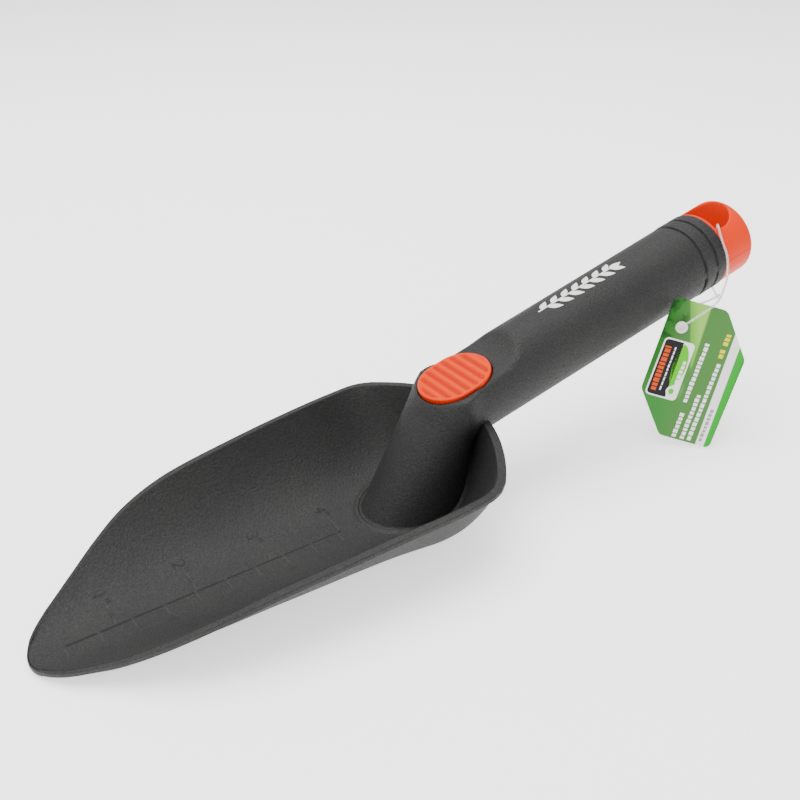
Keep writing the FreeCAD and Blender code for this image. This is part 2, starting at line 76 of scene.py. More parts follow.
def metres(points):
    """Design points in millimetres, as points of the frame in metres."""
    return (np.asarray(points, dtype=float) + ORIGIN) / 1000.0


def on_axes(origin, axes, places):
    """Design points from places along three axes at an origin."""
    return origin + sum(np.asarray(place, dtype=float)[..., None] * axis
                        for place, axis in zip(places, axes))


def on_handle(run, y, rise):
    """Design points by their run along the handle from the seam, y and rise."""
    return on_axes(SEAM, (ALONG, SIDE, ACROSS), (run, y, rise))


def handle_radius(run):
    """The handle's radius by the run from the bend: it widens up to the grip."""
    return BEND_RADIUS + (GRIP_RADIUS - BEND_RADIUS) * np.clip(run / TAPER_RUN, 0, 1)


def add_object(name, data):
    """A new object in the scene."""
    thing = bpy.data.objects.new(name, data)
    bpy.context.scene.collection.objects.link(thing)
    return thing


# -------- camera
# Solved from the depth scale and the outline.
AZIMUTH = math.radians(33.736)
ELEVATION = math.radians(30.0)
ROLL = math.radians(-0.878)
CAMERA_TARGET = np.array([131.667, 8.164, 36.585])
CAMERA_DISTANCE = 301.58

back = np.array([-math.sin(AZIMUTH) * math.cos(ELEVATION),
                 -math.cos(AZIMUTH) * math.cos(ELEVATION), math.sin(ELEVATION)])
level_right = np.array([math.cos(AZIMUTH), -math.sin(AZIMUTH), 0.0])
level_up = np.cross(back, level_right)
right = level_right * math.cos(ROLL) + level_up * math.sin(ROLL)
up = -level_right * math.sin(ROLL) + level_up * math.cos(ROLL)
lens = bpy.data.cameras.new("camera")
lens.lens = 40.42
lens.sensor_width = 36.0
lens.clip_start = 0.01
lens.clip_end = 20.0
camera = add_object("camera", lens)
spot = metres(CAMERA_TARGET + back * CAMERA_DISTANCE)
columns = np.column_stack([right, up, back, spot])
camera.matrix_world = Matrix([*columns.tolist(), (0, 0, 0, 1)])
bpy.context.scene.camera = camera


# -------- materials
def linear(red, green, blue):
    """An sRGB colour out of 255, as linear RGBA."""
    shares = [value / 255.0 for value in (red, green, blue)]
    return (*(share / 12.92 if share <= 0.04045 else ((share + 0.055) / 1.055) ** 2.4
              for share in shares), 1.0)


class Shader:
    """A node material being built: its tree, its shader and short ways to add nodes."""

    def __init__(self, name, roughness=0.5, **uniform):
        self.material = bpy.data.materials.new(name)
        self.material.use_nodes = True
        self.tree = self.material.node_tree
        self.out = self.tree.nodes["Principled BSDF"]
        self.out.inputs["Roughness"].default_value = roughness
        for socket, value in uniform.items():
            self.out.inputs[socket.replace("_", " ")].default_value = value

    def add(self, kind, **settings):
        node = self.tree.nodes.new("ShaderNode" + kind)
        for name, value in settings.items():
            setattr(node, name, value)
        return node

    def link(self, first, second):
        self.tree.links.new(first, second)

    def place(self):
        """Where a point is, in metres, in its piece's own axes."""
        return self.add("TexCoord").outputs["Object"]

    def noise(self, scale, detail=3.0, roughness=0.55, where=None):
        node = self.add("TexNoise")
        node.inputs["Scale"].default_value = scale
        node.inputs["Detail"].default_value = detail
        node.inputs["Roughness"].default_value = roughness
        self.link(where or self.place(), node.inputs["Vector"])
        return node.outputs["Fac"]

    def ramp(self, value, stops):
        """A colour by a value, from (value, colour) stops."""
        node = self.add("ValToRGB")
        marks = node.color_ramp.elements
        while len(marks) < len(stops):
            marks.new(0.5)
        for mark, (where, colour) in zip(marks, stops):
            mark.position = where
            mark.color = colour
        self.link(value, node.inputs["Fac"])
        return node.outputs["Color"]

    def mottled(self, scale, dark, light):
        """A colour that wanders between two."""
        return self.ramp(self.noise(scale), [(0.3, dark), (0.7, light)])

    def stretch(self, value, low, high, start=0.3, end=0.7):
        """A value's range from start to end, stretched to run from low to high."""
        node = self.add("MapRange")
        node.inputs["From Min"].default_value = start
        node.inputs["From Max"].default_value = end
        node.inputs["To Min"].default_value = low
        node.inputs["To Max"].default_value = high
        self.link(value, node.inputs["Value"])
        return node.outputs["Result"]

    def mix(self, share, first, second):
        node = self.add("Mix", data_type="RGBA")
        for value, socket in ((share, node.inputs["Factor"]), (first, node.inputs["A"]),
                              (second, node.inputs["B"])):
            if isinstance(value, (tuple, float)):
                socket.default_value = value
            else:
                self.link(value, socket)
        return node.outputs["Result"]

    def bump(self, heights):
        """Bumps in a chain, each (height, strength, distance in metres)."""
        last = None
        for height, strength, distance in heights:
            node = self.add("Bump")
            node.inputs["Strength"].default_value = strength
            node.inputs["Distance"].default_value = distance
            self.link(height, node.inputs["Height"])
            if last:
                self.link(last, node.inputs["Normal"])
            last = node.outputs["Normal"]
        self.link(last, self.out.inputs["Normal"])

    def colour(self, value):
        self.link(value, self.out.inputs["Base Color"])

    def roughness(self, value):
        self.link(value, self.out.inputs["Roughness"])


def grained_plastic(name, dark, light, grain=1.0, low_gloss=0.5, high_gloss=0.68, shine=0.3):
    """Moulded plastic with a spark-eroded grain, fine scuffs and faint flow marks."""
    shader = Shader(name, IOR=1.49, Specular_IOR_Level=shine)
    broad = shader.noise(38.0, 4.0, 0.6)
    fine = shader.noise(2000.0, 2.0, 0.75)
    middle = shader.noise(1300.0, 3.0, 0.6)
    body = shader.ramp(broad, [(0.3, dark), (0.7, light)])
    fleck = shader.ramp(fine, [(0.36, (0.45, 0.45, 0.45, 1)), (0.68, (1.6, 1.6, 1.6, 1))])
    tint = shader.add("Mix", data_type="RGBA", blend_type="MULTIPLY")
    tint.inputs["Factor"].default_value = min(1.0, 0.8 * grain)
    shader.link(body, tint.inputs["A"])
    shader.link(fleck, tint.inputs["B"])
    shader.colour(tint.outputs["Result"])
    shader.roughness(shader.stretch(middle, low_gloss, high_gloss))
    shader.bump([(middle, 1.0 * grain, 0.0003), (fine, 0.9 * grain, 0.00015)])
    return shader.material


def ribbed_plastic():
    """The orange plastic of the thumb rest, with painted shade that darkens its colour down in
    the valleys between its ribs.
    """
    shader = Shader("ribbed_orange_plastic", IOR=1.49, Specular_IOR_Level=0.1)
    height = shader.add("VectorMath", operation="DOT_PRODUCT")
    shader.link(shader.place(), height.inputs[0])
    height.inputs[1].default_value = tuple(THUMB_UP)
    crest = float(metres(THUMB) @ THUMB_UP) + PAD_PROUD / 1000.0
    # Painted shade: this mask is 1 down in the rib valleys and 0 on the crests, and darkens the
    # orange there.
    valley = shader.stretch(height.outputs["Value"], 1.0, 0.0, crest - 0.0008, crest - 0.0001)
    tone = shader.mottled(60.0, linear(214, 54, 0), linear(220, 60, 0))
    shader.colour(shader.mix(valley, tone, linear(178, 34, 0)))
    fine = shader.noise(5200.0, 2.0)
    shader.roughness(shader.stretch(fine, 0.42, 0.5))
    shader.bump([(fine, 0.1, 0.0001)])
    return shader.material


body_plastic = grained_plastic("charcoal_plastic", linear(32, 32, 32), linear(38, 38, 37))
accent_plastic = grained_plastic("orange_plastic", linear(216, 48, 0), linear(224, 54, 0),
                                 grain=0.12, low_gloss=0.36, high_gloss=0.44, shine=0.1)


# -------- meshes
def make_piece(name, points, faces, material, body, slot, smooth=True):
    """A mesh piece from design points in millimetres, riding on a body."""
    mesh = bpy.data.meshes.new(name)
    mesh.from_pydata(metres(points).tolist(), [], [list(map(int, face)) for face in faces])
    mesh.validate()
    mesh.materials.append(material)
    mesh.polygons.foreach_set("use_smooth", [smooth] * len(mesh.polygons))
    mesh.update()
    piece = add_object(name, mesh)
    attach(piece, body)
    return piece


def join(parts):
    """Points and faces of several meshes as one."""
    points = []
    faces = []
    start = 0
    for part_points, part_faces in parts:
        points.append(np.asarray(part_points, dtype=float))
        faces += [[index + start for index in face] for face in part_faces]
        start += len(part_points)
    return np.concatenate(points), faces


def rings_mesh(rings, close_first=False, close_last=False):
    """Closed rings of equal count joined by quads, with flat ends if asked."""
    count = len(rings[0])
    points = np.concatenate([np.asarray(ring, dtype=float) for ring in rings])
    faces = []
    for row in range(len(rings) - 1):
        first = row * count
        for column in range(count):
            after = (column + 1) % count
            faces.append([first + column, first + after, first + count + after,
                          first + count + column])
    if close_first:
        faces.append(list(range(count))[::-1])
    if close_last:
        last = (len(rings) - 1) * count
        faces.append([last + column for column in range(count)])
    return points, faces


def smooth_min(first, second, width):
    """The smaller of two distances, blended where they are within a width."""
    share = np.clip(0.5 + 0.5 * (second - first) / width, 0, 1)
    return second + (first - second) * share - width * share * (1 - share)


def smooth_max(first, second, width):
    """The larger of two distances, blended in the same way."""
    return -smooth_min(-first, -second, width)


def smooth_step(value, low, high):
    """Eases from 0 at low to 1 at high."""
    share = np.clip((value - low) / (high - low), 0, 1)
    return share * share * (3 - 2 * share)


def surface_net(distance, low, high, step):
    """Quads on the zero level of a signed distance, with each point moved onto it."""
    axes = [np.arange(low[i], high[i] + step, step) for i in range(3)]
    values = distance(*np.meshgrid(*axes, indexing="ij"))
    inside = values < 0
    shape = np.array(values.shape) - 1
    total = np.zeros((*shape, 3))
    hits = np.zeros(shape)

    def corner(array, offset):
        return array[tuple(slice(offset[i], shape[i] + offset[i]) for i in range(3))]

    corners = [(i, j, k) for i in (0, 1) for j in (0, 1) for k in (0, 1)]
    for start in corners:
        for axis in range(3):
            if start[axis]:
                continue
            end = tuple(value + (i == axis) for i, value in enumerate(start))
            crossed = corner(inside, start) != corner(inside, end)
            first = corner(values, start)[crossed]
            share = first / (first - corner(values, end)[crossed])
            for i in range(3):
                total[..., i][crossed] += start[i] + (share if i == axis else 0.0)
            hits[crossed] += 1
    used = hits > 0
    index = -np.ones(shape, dtype=int)
    index[used] = np.arange(used.sum())
    cells = np.argwhere(used)
    points = np.array(low) + step * (cells + total[used] / hits[used][:, None])
    faces = []
    for axis in range(3):
        others = [i for i in range(3) if i != axis]
        here = [slice(1, -1)] * 3
        here[axis] = slice(0, -1)
        there = [slice(1, -1)] * 3
        there[axis] = slice(1, None)
        low_side = inside[tuple(here)]
        crossed = low_side != inside[tuple(there)]
        spots = np.argwhere(crossed)
        spots[:, others] += 1
        flip = low_side[crossed]
        quad = []
        for first, second in ((1, 1), (0, 1), (0, 0), (1, 0)):
            cell = spots.copy()
            cell[:, others[0]] -= first
            cell[:, others[1]] -= second
            quad.append(index[tuple(cell.T)])
        quad = np.array(quad).T
        if axis == 1:
            flip = ~flip
        quad[~flip] = quad[~flip][:, ::-1]
        faces += quad.tolist()
    tiny = 0.02
    least_slope = 0.05
    for _ in range(4):
        x, y, z = points.T
        value = distance(x, y, z)
        slope = np.stack([(distance(x + tiny, y, z) - distance(x - tiny, y, z)),
                          (distance(x, y + tiny, z) - distance(x, y - tiny, z)),
                          (distance(x, y, z + tiny) - distance(x, y, z - tiny))], axis=1)
        slope /= 2 * tiny
        size = np.maximum((slope ** 2).sum(axis=1), least_slope)
        points = points - slope * (np.clip(value, -step, step) / size)[:, None]
    return points, faces


# -------- scoop
TIP_SIDE = 2.4
CORNER_X = 139.2
CORNER_Y = 38.6
TIP_WIDTH = 15.2
REAR_END = 155.0
REAR_BOW = 0.0098
REAR_WALL_RUN = 28.0
BEAD_DEPTH = 1.7
# The rim bead's width: thin at the tip, growing over a run to its full width.
BEAD_THIN = 1.0
BEAD_GROWTH = 1.7
BEAD_RUN = 60
# Stations along the scoop, by x: half width, height of the rim, and how square the dish is.
HALF_WIDTH = [(10, 15.2), (20, 22.3), (30, 28.3), (40, 32.9), (50, 35.8), (60, 37.5),
              (80, 39.6), (100, 41.2), (122, 42.5), (130, 42.4), (135, 41.3),
              (CORNER_X, CORNER_Y)]
RIM_HEIGHT = [(0, 0.3), (10, 3.3), (20, 6.7), (30, 11.0), (40, 15.2), (50, 18.2),
              (60, 20.3), (80, 22.6), (100, 24.5), (120, 25.9), (135, 27.3), (145, 29.6),
              (156, 33.5)]
DISH_POWER = [(0, 2.2), (30, 2.3), (60, 2.6), (100, 2.9), (122, 3.6), (140, 4.8), (156, 4.8)]


def ease(stations, x):
    """Monotone cubic through the stations, for an array of x."""
    xs, ys = np.array(stations, dtype=float).T
    steps = np.diff(ys) / np.diff(xs)
    slopes = np.zeros(len(xs))
    slopes[0] = steps[0]
    slopes[-1] = steps[-1]
    for i in range(1, len(xs) - 1):
        if steps[i - 1] * steps[i] > 0:
            slopes[i] = 2 * steps[i - 1] * steps[i] / (steps[i - 1] + steps[i])
    x = np.clip(x, xs[0], xs[-1])
    i = np.clip(np.searchsorted(xs, x, side="right") - 1, 0, len(xs) - 2)
    run = xs[i + 1] - xs[i]
    t = (x - xs[i]) / run
    return (ys[i] * (1 + 2 * t) * (1 - t) ** 2 + slopes[i] * run * t * (1 - t) ** 2
            + ys[i + 1] * t * t * (3 - 2 * t) - slopes[i + 1] * run * t * t * (1 - t))


def half_width(x):
    """The scoop's half width: round at the tip, then through the stations."""
    near_tip = TIP_WIDTH * np.sqrt(np.maximum(0.0, x) / 10)
    return np.where(x < 10, near_tip, ease(HALF_WIDTH, x))


def rear_rim(y):
    """The x of the rear rim: a shallow bow that turns in at both corners."""
    corner = REAR_END - REAR_BOW * CORNER_Y ** 2
    return REAR_END - REAR_BOW * y * y - (corner - CORNER_X) * (y / CORNER_Y) ** 6


def dish_point(along, over, inset):
    """Points of the scoop's inner surface, by shares of the way along and over it."""
    side_x = TIP_SIDE + (CORNER_X - TIP_SIDE) * along
    y = over * (half_width(side_x) - inset * (1 - 0.25 * along ** 8))
    tip_x = TIP_SIDE * over * over + inset * 0.5
    rear_x = rear_rim(over * CORNER_Y) - inset * (1 - 0.25 * over ** 8)
    x = tip_x + (rear_x - tip_x) * along
    start = 1 - REAR_WALL_RUN / (REAR_END - TIP_SIDE)
    rear = np.maximum(0.0, (along - start) / (1 - start))
    free = (1 - over ** 2) * (1 - rear ** 2)
    reach = np.sqrt(np.clip(1 - free, 0, 1))
    z = ease(RIM_HEIGHT, x) * reach ** ease(DISH_POWER, x)
    return np.stack([x, y, z], axis=-1)


def scoop_mesh(along_count=300, over_count=220):
    """The scoop's wall with its rim bead, as one closed mesh."""
    along = 0.5 - 0.5 * np.cos(np.pi * np.arange(along_count + 1) / along_count)
    over = -np.cos(np.pi * np.arange(over_count + 1) / over_count)
    along, over = np.meshgrid(along, over, indexing="ij")
    inset = BEAD_THIN + BEAD_GROWTH * np.minimum(1.0, along * CORNER_X / BEAD_RUN)
    inner = dish_point(along, over, inset)
    step = 0.002
    here = np.clip(along, step, 1 - step)
    there = np.clip(over, step - 1, 1 - step)
    forward = dish_point(here + step, there, inset) - dish_point(here - step, there, inset)
    sideways = dish_point(here, there + step, inset) - dish_point(here, there - step, inset)
    normal = np.cross(forward, sideways)
    normal /= np.linalg.norm(normal, axis=-1, keepdims=True)
    upward = np.array([0, 0, 1.0])
    near_tip = 0.12
    tip_share = np.maximum(0.0, 1 - along / near_tip)[..., None]
    normal = normal * (1 - tip_share) + upward * tip_share
    outer = inner - normal * WALL
    rim = dish_point(along, over, 0.0)

    def ring_of(grid):
        return np.concatenate([grid[:-1, 0], grid[-1, :-1], grid[:0:-1, -1], grid[0, :0:-1]])

    rows, columns = along.shape
    number = np.arange(rows * columns).reshape(rows, columns)
    ring_index = ring_of(number)
    inner_ring = ring_of(inner)
    outer_ring = ring_of(outer)
    rim_ring = ring_of(rim)
    outward = rim_ring - inner_ring
    outward[:, 2] = 0
    width = np.linalg.norm(outward, axis=1)
    outward /= width[:, None]
    low_out = ((outer_ring - inner_ring) * outward).sum(axis=1)
    low_up = (outer_ring - inner_ring)[:, 2]
    flat = np.zeros(len(width))
    lip = 0.42
    foot = 0.25
    quarter = math.pi / 2
    profile = [(flat + lip * (1 - math.cos(angle)), flat - lip * (1 - math.sin(angle)))
               for angle in np.linspace(0, quarter, 5)]
    profile.append((0.5 * width, flat))
    profile += [(width - lip * (1 - math.sin(angle)), flat - lip * (1 - math.cos(angle)))
                for angle in np.linspace(0, quarter, 6)]
    profile.append((width, flat - 0.6 * BEAD_DEPTH))
    profile += [(width - foot * (1 - math.cos(angle)),
                 flat + foot - BEAD_DEPTH - foot * math.sin(angle))
                for angle in np.linspace(0, quarter, 4)]
    tuck = np.minimum(width - 0.25, np.maximum(low_out + 0.1, width - 0.75))
    profile.append((tuck + 0.1, flat - BEAD_DEPTH - 0.02))
    profile.append((tuck, flat - BEAD_DEPTH - 0.12))
    profile.append((0.5 * (tuck + low_out), 0.5 * np.minimum(low_up, -BEAD_DEPTH - 0.2)
                    + 0.5 * (-BEAD_DEPTH - 0.3)))
    rings = [inner_ring + outward * out[:, None] + upward * rise[:, None]
             for out, rise in profile]
    points = np.concatenate([inner.reshape(-1, 3), outer.reshape(-1, 3)] + rings)
    faces = []
    for i in range(rows - 1):
        for j in range(columns - 1):
            quad = [number[i, j], number[i + 1, j], number[i + 1, j + 1], number[i, j + 1]]
            faces.append(quad)
            faces.append([rows * columns + corner for corner in quad[::-1]])
    count = len(ring_index)
    loops = [ring_index]
    for k in range(len(rings)):
        loops.append(2 * rows * columns + k * count + np.arange(count))
    loops.append(ring_index + rows * columns)
    for first, second in zip(loops[:-1], loops[1:]):
        for k in range(count):
            n = (k + 1) % count
            faces.append([first[k], second[k], second[n], first[n]])
    return points, faces


scoop_points, scoop_faces = scoop_mesh()

# -------- neck, bend and handle
PAD_LENGTH = 26.2
PAD_WIDTH = 21.4
PAD_GAP = 0.25
SEAT_DEPTH = 2.2
# The flat round the thumb rest, and the curve by which it runs out into the handle.
RUNOUT = 13.2
RUNOUT_RADIUS = 14.0
ELBOW = BEND + ALONG * 1.5
ELBOW_RADIUS = 12.6
# How far the neck rises above the bend's middle, and reaches into the scoop's wall.
NECK_RISE = 11.0
NECK_INTO_WALL = 1.1
# A level distance to the neck's leaning side, times this, is the distance square to it.
NECK_LEAN = 0.87
BODY_FLOOR = 0.6
BEND_BLEND = 3.0
# Where the net of the front of the handle ends and the turned rear begins.
JOIN = 96.0
COLLAR_RUN = (110.5, 112.0)
COLLAR_EDGE = 0.3
GROOVES = (10.9, 4.9)
GROOVE_DEPTH = 0.75
GROOVE_HALVES = (0.35, 0.75)


def neck_section(height):
    """The neck's centre, half length and half width at a height above the floor."""
    share = np.asarray(height, dtype=float)[..., None] / BEND[2]
    return np.moveaxis(NECK_FOOT + (NECK_TOP - NECK_FOOT) * share, -1, 0)


scoop_tree = BVHTree.FromPolygons([Vector(p) for p in scoop_points], scoop_faces)
WALL_TOP = 34.0


def floor_height(x, y):
    """Height of the scoop's inner surface at a point, or the wall's top beyond the rim."""
    hit = scoop_tree.ray_cast(Vector((x, y, 60.0)), Vector((0, 0, -1)))[0]
    return hit.z if hit else WALL_TOP


# Heights of the scoop's rear wall on a grid, for the distance to it.
WALL_LOW = np.array([104.0, -20.0])
WALL_STEP = 0.5
WALL_COUNT = (107, 81)
wall_grid = np.array([[floor_height(*(WALL_LOW + WALL_STEP * np.array([i, j])))
                       for j in range(WALL_COUNT[1])] for i in range(WALL_COUNT[0])])
wall_slope = np.hypot(*np.gradient(wall_grid, WALL_STEP))


def on_grid(grid, x, y):
    """A grid's value at each point, between its nodes."""
    across = np.clip((x - WALL_LOW[0]) / WALL_STEP, 0, grid.shape[0] - 1.001)
    over = np.clip((y - WALL_LOW[1]) / WALL_STEP, 0, grid.shape[1] - 1.001)
    i, j = across.astype(int), over.astype(int)
    s, t = across - i, over - j
    return ((grid[i, j] * (1 - t) + grid[i, j + 1] * t) * (1 - s)
            + (grid[i + 1, j] * (1 - t) + grid[i + 1, j + 1] * t) * s)


def stadium_distance(x, y, length, width):
    """Signed distance to a long round-ended outline."""
    reach = (length - width) / 2
    return np.hypot(x - np.clip(x, -reach, reach), y) - width / 2


def in_plane(x, z, origin, axes):
    """Places along two axes of the middle plane, from an origin on it."""
    return [(x - origin[0]) * axis[0] + (z - origin[2]) * axis[2] for axis in axes]


def handle_distance(x, y, z):
    """Signed distance, about, to the neck, the bend and the handle as one smooth body."""
    centre, half_along, half_over = neck_section(z)
    oval = np.hypot((x - centre) / half_along, y / half_over)
    slope = np.hypot((x - centre) / half_along ** 2, y / half_over ** 2)
    neck = (oval - 1) * np.maximum(oval, 0.2) / np.maximum(slope, 0.01) * NECK_LEAN
    behind = (on_grid(wall_grid, x, y) - z) / np.hypot(1, on_grid(wall_slope, x, y))
    behind = np.maximum(behind - NECK_INTO_WALL, z - BEND[2] - NECK_RISE)
    neck = smooth_max(neck, behind, 0.2)
    ball = np.sqrt((x - ELBOW[0]) ** 2 + y ** 2 + (z - ELBOW[2]) ** 2) - ELBOW_RADIUS
    run, rise = in_plane(x, z, BEND, (ALONG, ACROSS))
    tube = smooth_max(np.hypot(y, rise) - handle_radius(run), -run, 1.5)
    body = smooth_min(neck, np.minimum(tube, ball), BEND_BLEND)
    thumb_x, thumb_z = in_plane(x, z, THUMB, (THUMB_ALONG, THUMB_UP))
    ramp = RUNOUT_RADIUS - np.hypot(thumb_x - RUNOUT, thumb_z - RUNOUT_RADIUS)
    body = smooth_max(body, np.where(thumb_x < RUNOUT, thumb_z, ramp), 1.3)
    recess = stadium_distance(thumb_x, y, PAD_LENGTH + 2 * PAD_GAP, PAD_WIDTH + 2 * PAD_GAP)
    body = smooth_max(body, -smooth_max(recess, -SEAT_DEPTH - thumb_z, 0.3), 0.35)
    body = np.maximum(body, run - JOIN)
    return np.maximum(body, BODY_FLOOR - z)


def tube_mesh():
    """The rear of the handle, with its two grooves, its collar and its bore."""
    angles = np.linspace(0, 2 * math.pi, 160, endpoint=False)
    fine_from = 109.0
    runs = [*np.arange(JOIN - 1.5, fine_from, 0.8), *np.arange(fine_from, 121.0, 0.1)]
    # The grooves all but stop at the two sides, where the mould parts.
    full_depth = 0.12 + 0.88 * smooth_step(np.abs(np.sin(angles)), 0.05, 0.16)
    rings = []

    def ring(run, radius):
        offset = np.full(len(angles), run - HANDLE_LENGTH)
        return on_handle(offset, radius * np.cos(angles), radius * np.sin(angles))

    for run in runs:
        radius = float(handle_radius(run))
        radius += (COLLAR_RADIUS - GRIP_RADIUS) * float(smooth_step(run, *COLLAR_RUN))
        radius -= 0.01 * (1 - float(smooth_step(run, JOIN - 0.6, JOIN + 0.6)))
        depth = 0.0
        for groove in GROOVES:
            off = abs(run - (HANDLE_LENGTH - groove))
            depth = max(depth, GROOVE_DEPTH * (1 - float(smooth_step(off, *GROOVE_HALVES))))
        rings.append(ring(run, radius - depth * full_depth))
    for angle in np.linspace(0, math.pi / 2, 5):
        rings.append(ring(HANDLE_LENGTH - COLLAR_EDGE * (1 - math.sin(angle)),
                          COLLAR_RADIUS - COLLAR_EDGE * (1 - math.cos(angle))))
    rings.append(ring(HANDLE_LENGTH, BORE_RADIUS))
    rings.append(ring(HANDLE_LENGTH - 20, BORE_RADIUS))
    return rings_mesh(rings, close_last=True)


# The raised ring's section: out along the scoop's wall, and up off it.
FOOT_RING = [(3.0, -0.12), (2.7, 0.02), (2.3, 0.28), (1.9, 0.56), (1.5, 0.74), (1.15, 0.76),
             (0.85, 0.62), (0.55, 0.36), (0.3, 0.22)]


def skirt_mesh():
    """The raised ring round the neck's foot, from the scoop's wall to the neck's side."""
    highest = 27.0
    columns = []
    for angle in np.linspace(0.02, 2 * math.pi - 0.02, 260):
        cosine, sine = math.cos(angle), math.sin(angle)

        def on_neck(height):
            """The point of the neck's side at this angle and a height."""
            centre, half_along, half_over = neck_section(height)
            return np.array([centre + half_along * cosine, half_over * sine, height])

        low, high = -1.0, WALL_TOP
        for _ in range(24):
            middle = (low + high) / 2
            x, y, z = on_neck(middle)
            if z > floor_height(x, y):
                high = middle
            else:
                low = middle
        if high > highest:
            continue
        meet = on_neck(high)
        _, half_along, half_over = neck_section(high)
        outward = np.array([cosine / half_along, sine / half_over])
        outward /= np.linalg.norm(outward)
        shrink = 1 - high / (highest + 1.0)
        ahead = 0.5
        steep = (floor_height(*(meet[:2] + outward * ahead)) - high) / ahead
        length = math.sqrt(1 + steep * steep)
        along_wall = np.array([*outward, steep]) / length
        off_wall = np.array([*(-steep * outward), 1.0]) / length
        column = [meet + (along_wall * out + off_wall * rise) * max(shrink, 0.05)
                  for out, rise in FOOT_RING]
        column += [on_neck(high + climb * shrink) - np.array([*outward, 0]) * sunk
                   for climb, sunk in ((0.5, -0.12), (0.9, -0.03), (1.4, 0.05))]
        columns.append(column)
    count = len(columns[0])
    points = np.array(columns).reshape(-1, 3)
    faces = [[i * count + j, (i + 1) * count + j, (i + 1) * count + j + 1, i * count + j + 1]
             for i in range(len(columns) - 1) for j in range(count - 1)]
    return points, faces


handle_front = surface_net(handle_distance, (104.0, -18.0, 0.0), (248.0, 18.0, 78.0), 0.5)
body_mesh = join([(scoop_points, scoop_faces), handle_front, tube_mesh(), skirt_mesh()])
trowel = make_piece("trowel_moulding", *body_mesh, body_plastic, "trowel", "body_plastic")
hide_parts("trowel_body")

# -------- thumb rest
PAD_DEPTH = 2.1
RIB_PITCH = 3.4
RIB_DEPTH = 0.75
RIB_START = 0.5


def thumb_points(x, y, z):
    """Design points from the thumb rest's own axes."""
    return on_axes(THUMB, (THUMB_ALONG, SIDE, THUMB_UP), (x, y, z))


def thumb_mesh():
    """The thumb rest: seven rounded ribs across, in a smooth edge all round."""
    reach = (PAD_LENGTH - PAD_WIDTH) / 2
    half = PAD_WIDTH / 2
    turn = np.linspace(-math.pi / 2, math.pi / 2, 120)
    straight = np.linspace(reach, -reach, 26)[1:-1]
    side = np.full(len(straight), half)
    edge_x = np.concatenate([reach + half * np.cos(turn), straight,
                             -reach - half * np.cos(turn), -straight])
    edge_y = np.concatenate([half * np.sin(turn), side, -half * np.sin(turn), -side])
    middle_x = np.clip(edge_x, -reach, reach)
    rings = []
    for depth in (-PAD_DEPTH, -0.2):
        rings.append(thumb_points(edge_x, edge_y, np.full(len(edge_x), depth)))
    edge_round = 0.6
    for angle in np.linspace(0, math.pi / 2, 8):
        inset = edge_round * (1 - math.cos(angle))
        scale = (half - inset) / half
        height = np.full(len(edge_x), PAD_PROUD - edge_round * (1 - math.sin(angle)))
        rings.append(thumb_points(middle_x + (edge_x - middle_x) * scale, edge_y * scale, height))
    for share in np.linspace(0.0, 1.0, 60)[1:]:
        scale = (half - edge_round) / half * (1 - share)
        ring_x = middle_x * (1 - share * 0.999) + (edge_x - middle_x) * scale
        ring_y = edge_y * scale
        past = np.hypot(ring_x - np.clip(ring_x, -reach, reach), ring_y)
        fade = smooth_step(half - past, edge_round, 1.7)
        wave = 0.5 - 0.5 * np.cos(2 * math.pi * (ring_x - RIB_START) / RIB_PITCH)
        valley = RIB_DEPTH * fade * wave ** 1.3
        rings.append(thumb_points(ring_x, ring_y, PAD_PROUD - valley))
    return rings_mesh(rings, close_first=True, close_last=True)


thumb = make_piece("thumb_rest", *thumb_mesh(), ribbed_plastic(), "trowel", "accent_plastic")
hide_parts("thumb_pad")

# -------- end cap
CAP_END = 15.8
CAP_ROUND = 2.4
SPIGOT_RADIUS = 11.2
SPIGOT_LENGTH = 10.0
# The D-shaped hanging hole: a straight side near the seam, then half a circle.
HOLE_NEAR = 1.5
HOLE_HALF = 9.1
HOLE_STRAIGHT = 3.4


def cap_distance(run, y, rise):
    """Signed distance to the cap, in axes along, over and above the handle."""
    radial = np.hypot(y, rise)
    out_run = run - (CAP_END - CAP_ROUND)
    out_round = radial - (CAP_RADIUS - CAP_ROUND)
    rounded = (np.hypot(np.maximum(out_run, 0), np.maximum(out_round, 0)) - CAP_ROUND
               + np.minimum(np.maximum(out_run, out_round), 0))
    solid = smooth_max(rounded, 0.02 - run, 0.3)
    spigot = np.maximum(radial - SPIGOT_RADIUS, np.maximum(-SPIGOT_LENGTH - run, run - 1.0))
    solid = np.minimum(solid, spigot)
    centre = HOLE_NEAR + HOLE_STRAIGHT
    round_part = np.hypot(np.maximum(run - centre, 0), y) - HOLE_HALF
    hole = smooth_max(round_part, HOLE_NEAR - run, 1.2)
    return smooth_max(solid, -hole, 0.7)


cap_points, cap_faces = surface_net(cap_distance, (-11.0, -16.0, -16.0),
                                    (20.0, 16.0, 16.0), 0.4)
cap = make_piece("hanging_cap", on_handle(*cap_points.T), cap_faces, accent_plastic,
                 "trowel", "accent_plastic")
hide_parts("end_cap")

# -------- tag
# The tag's own axes at its hole, square to each other.
TAG_ACROSS = np.array([0.692, -0.686, -0.226])
TAG_ACROSS /= np.linalg.norm(TAG_ACROSS)
TAG_UP = np.array([0.278, -0.036, 0.960])
TAG_UP -= TAG_ACROSS * (TAG_UP @ TAG_ACROSS)
TAG_UP /= np.linalg.norm(TAG_UP)
TAG_FRONT = np.cross(TAG_ACROSS, TAG_UP)
TAG_HOLE = np.array([237.46, -19.09, 45.25])
TAG_THICKNESS = 0.6


def on_tag(across, up, front):
    """Design points on the tag, from its hole."""
    return on_axes(TAG_HOLE, (TAG_ACROSS, TAG_UP, TAG_FRONT), (across, up, front))


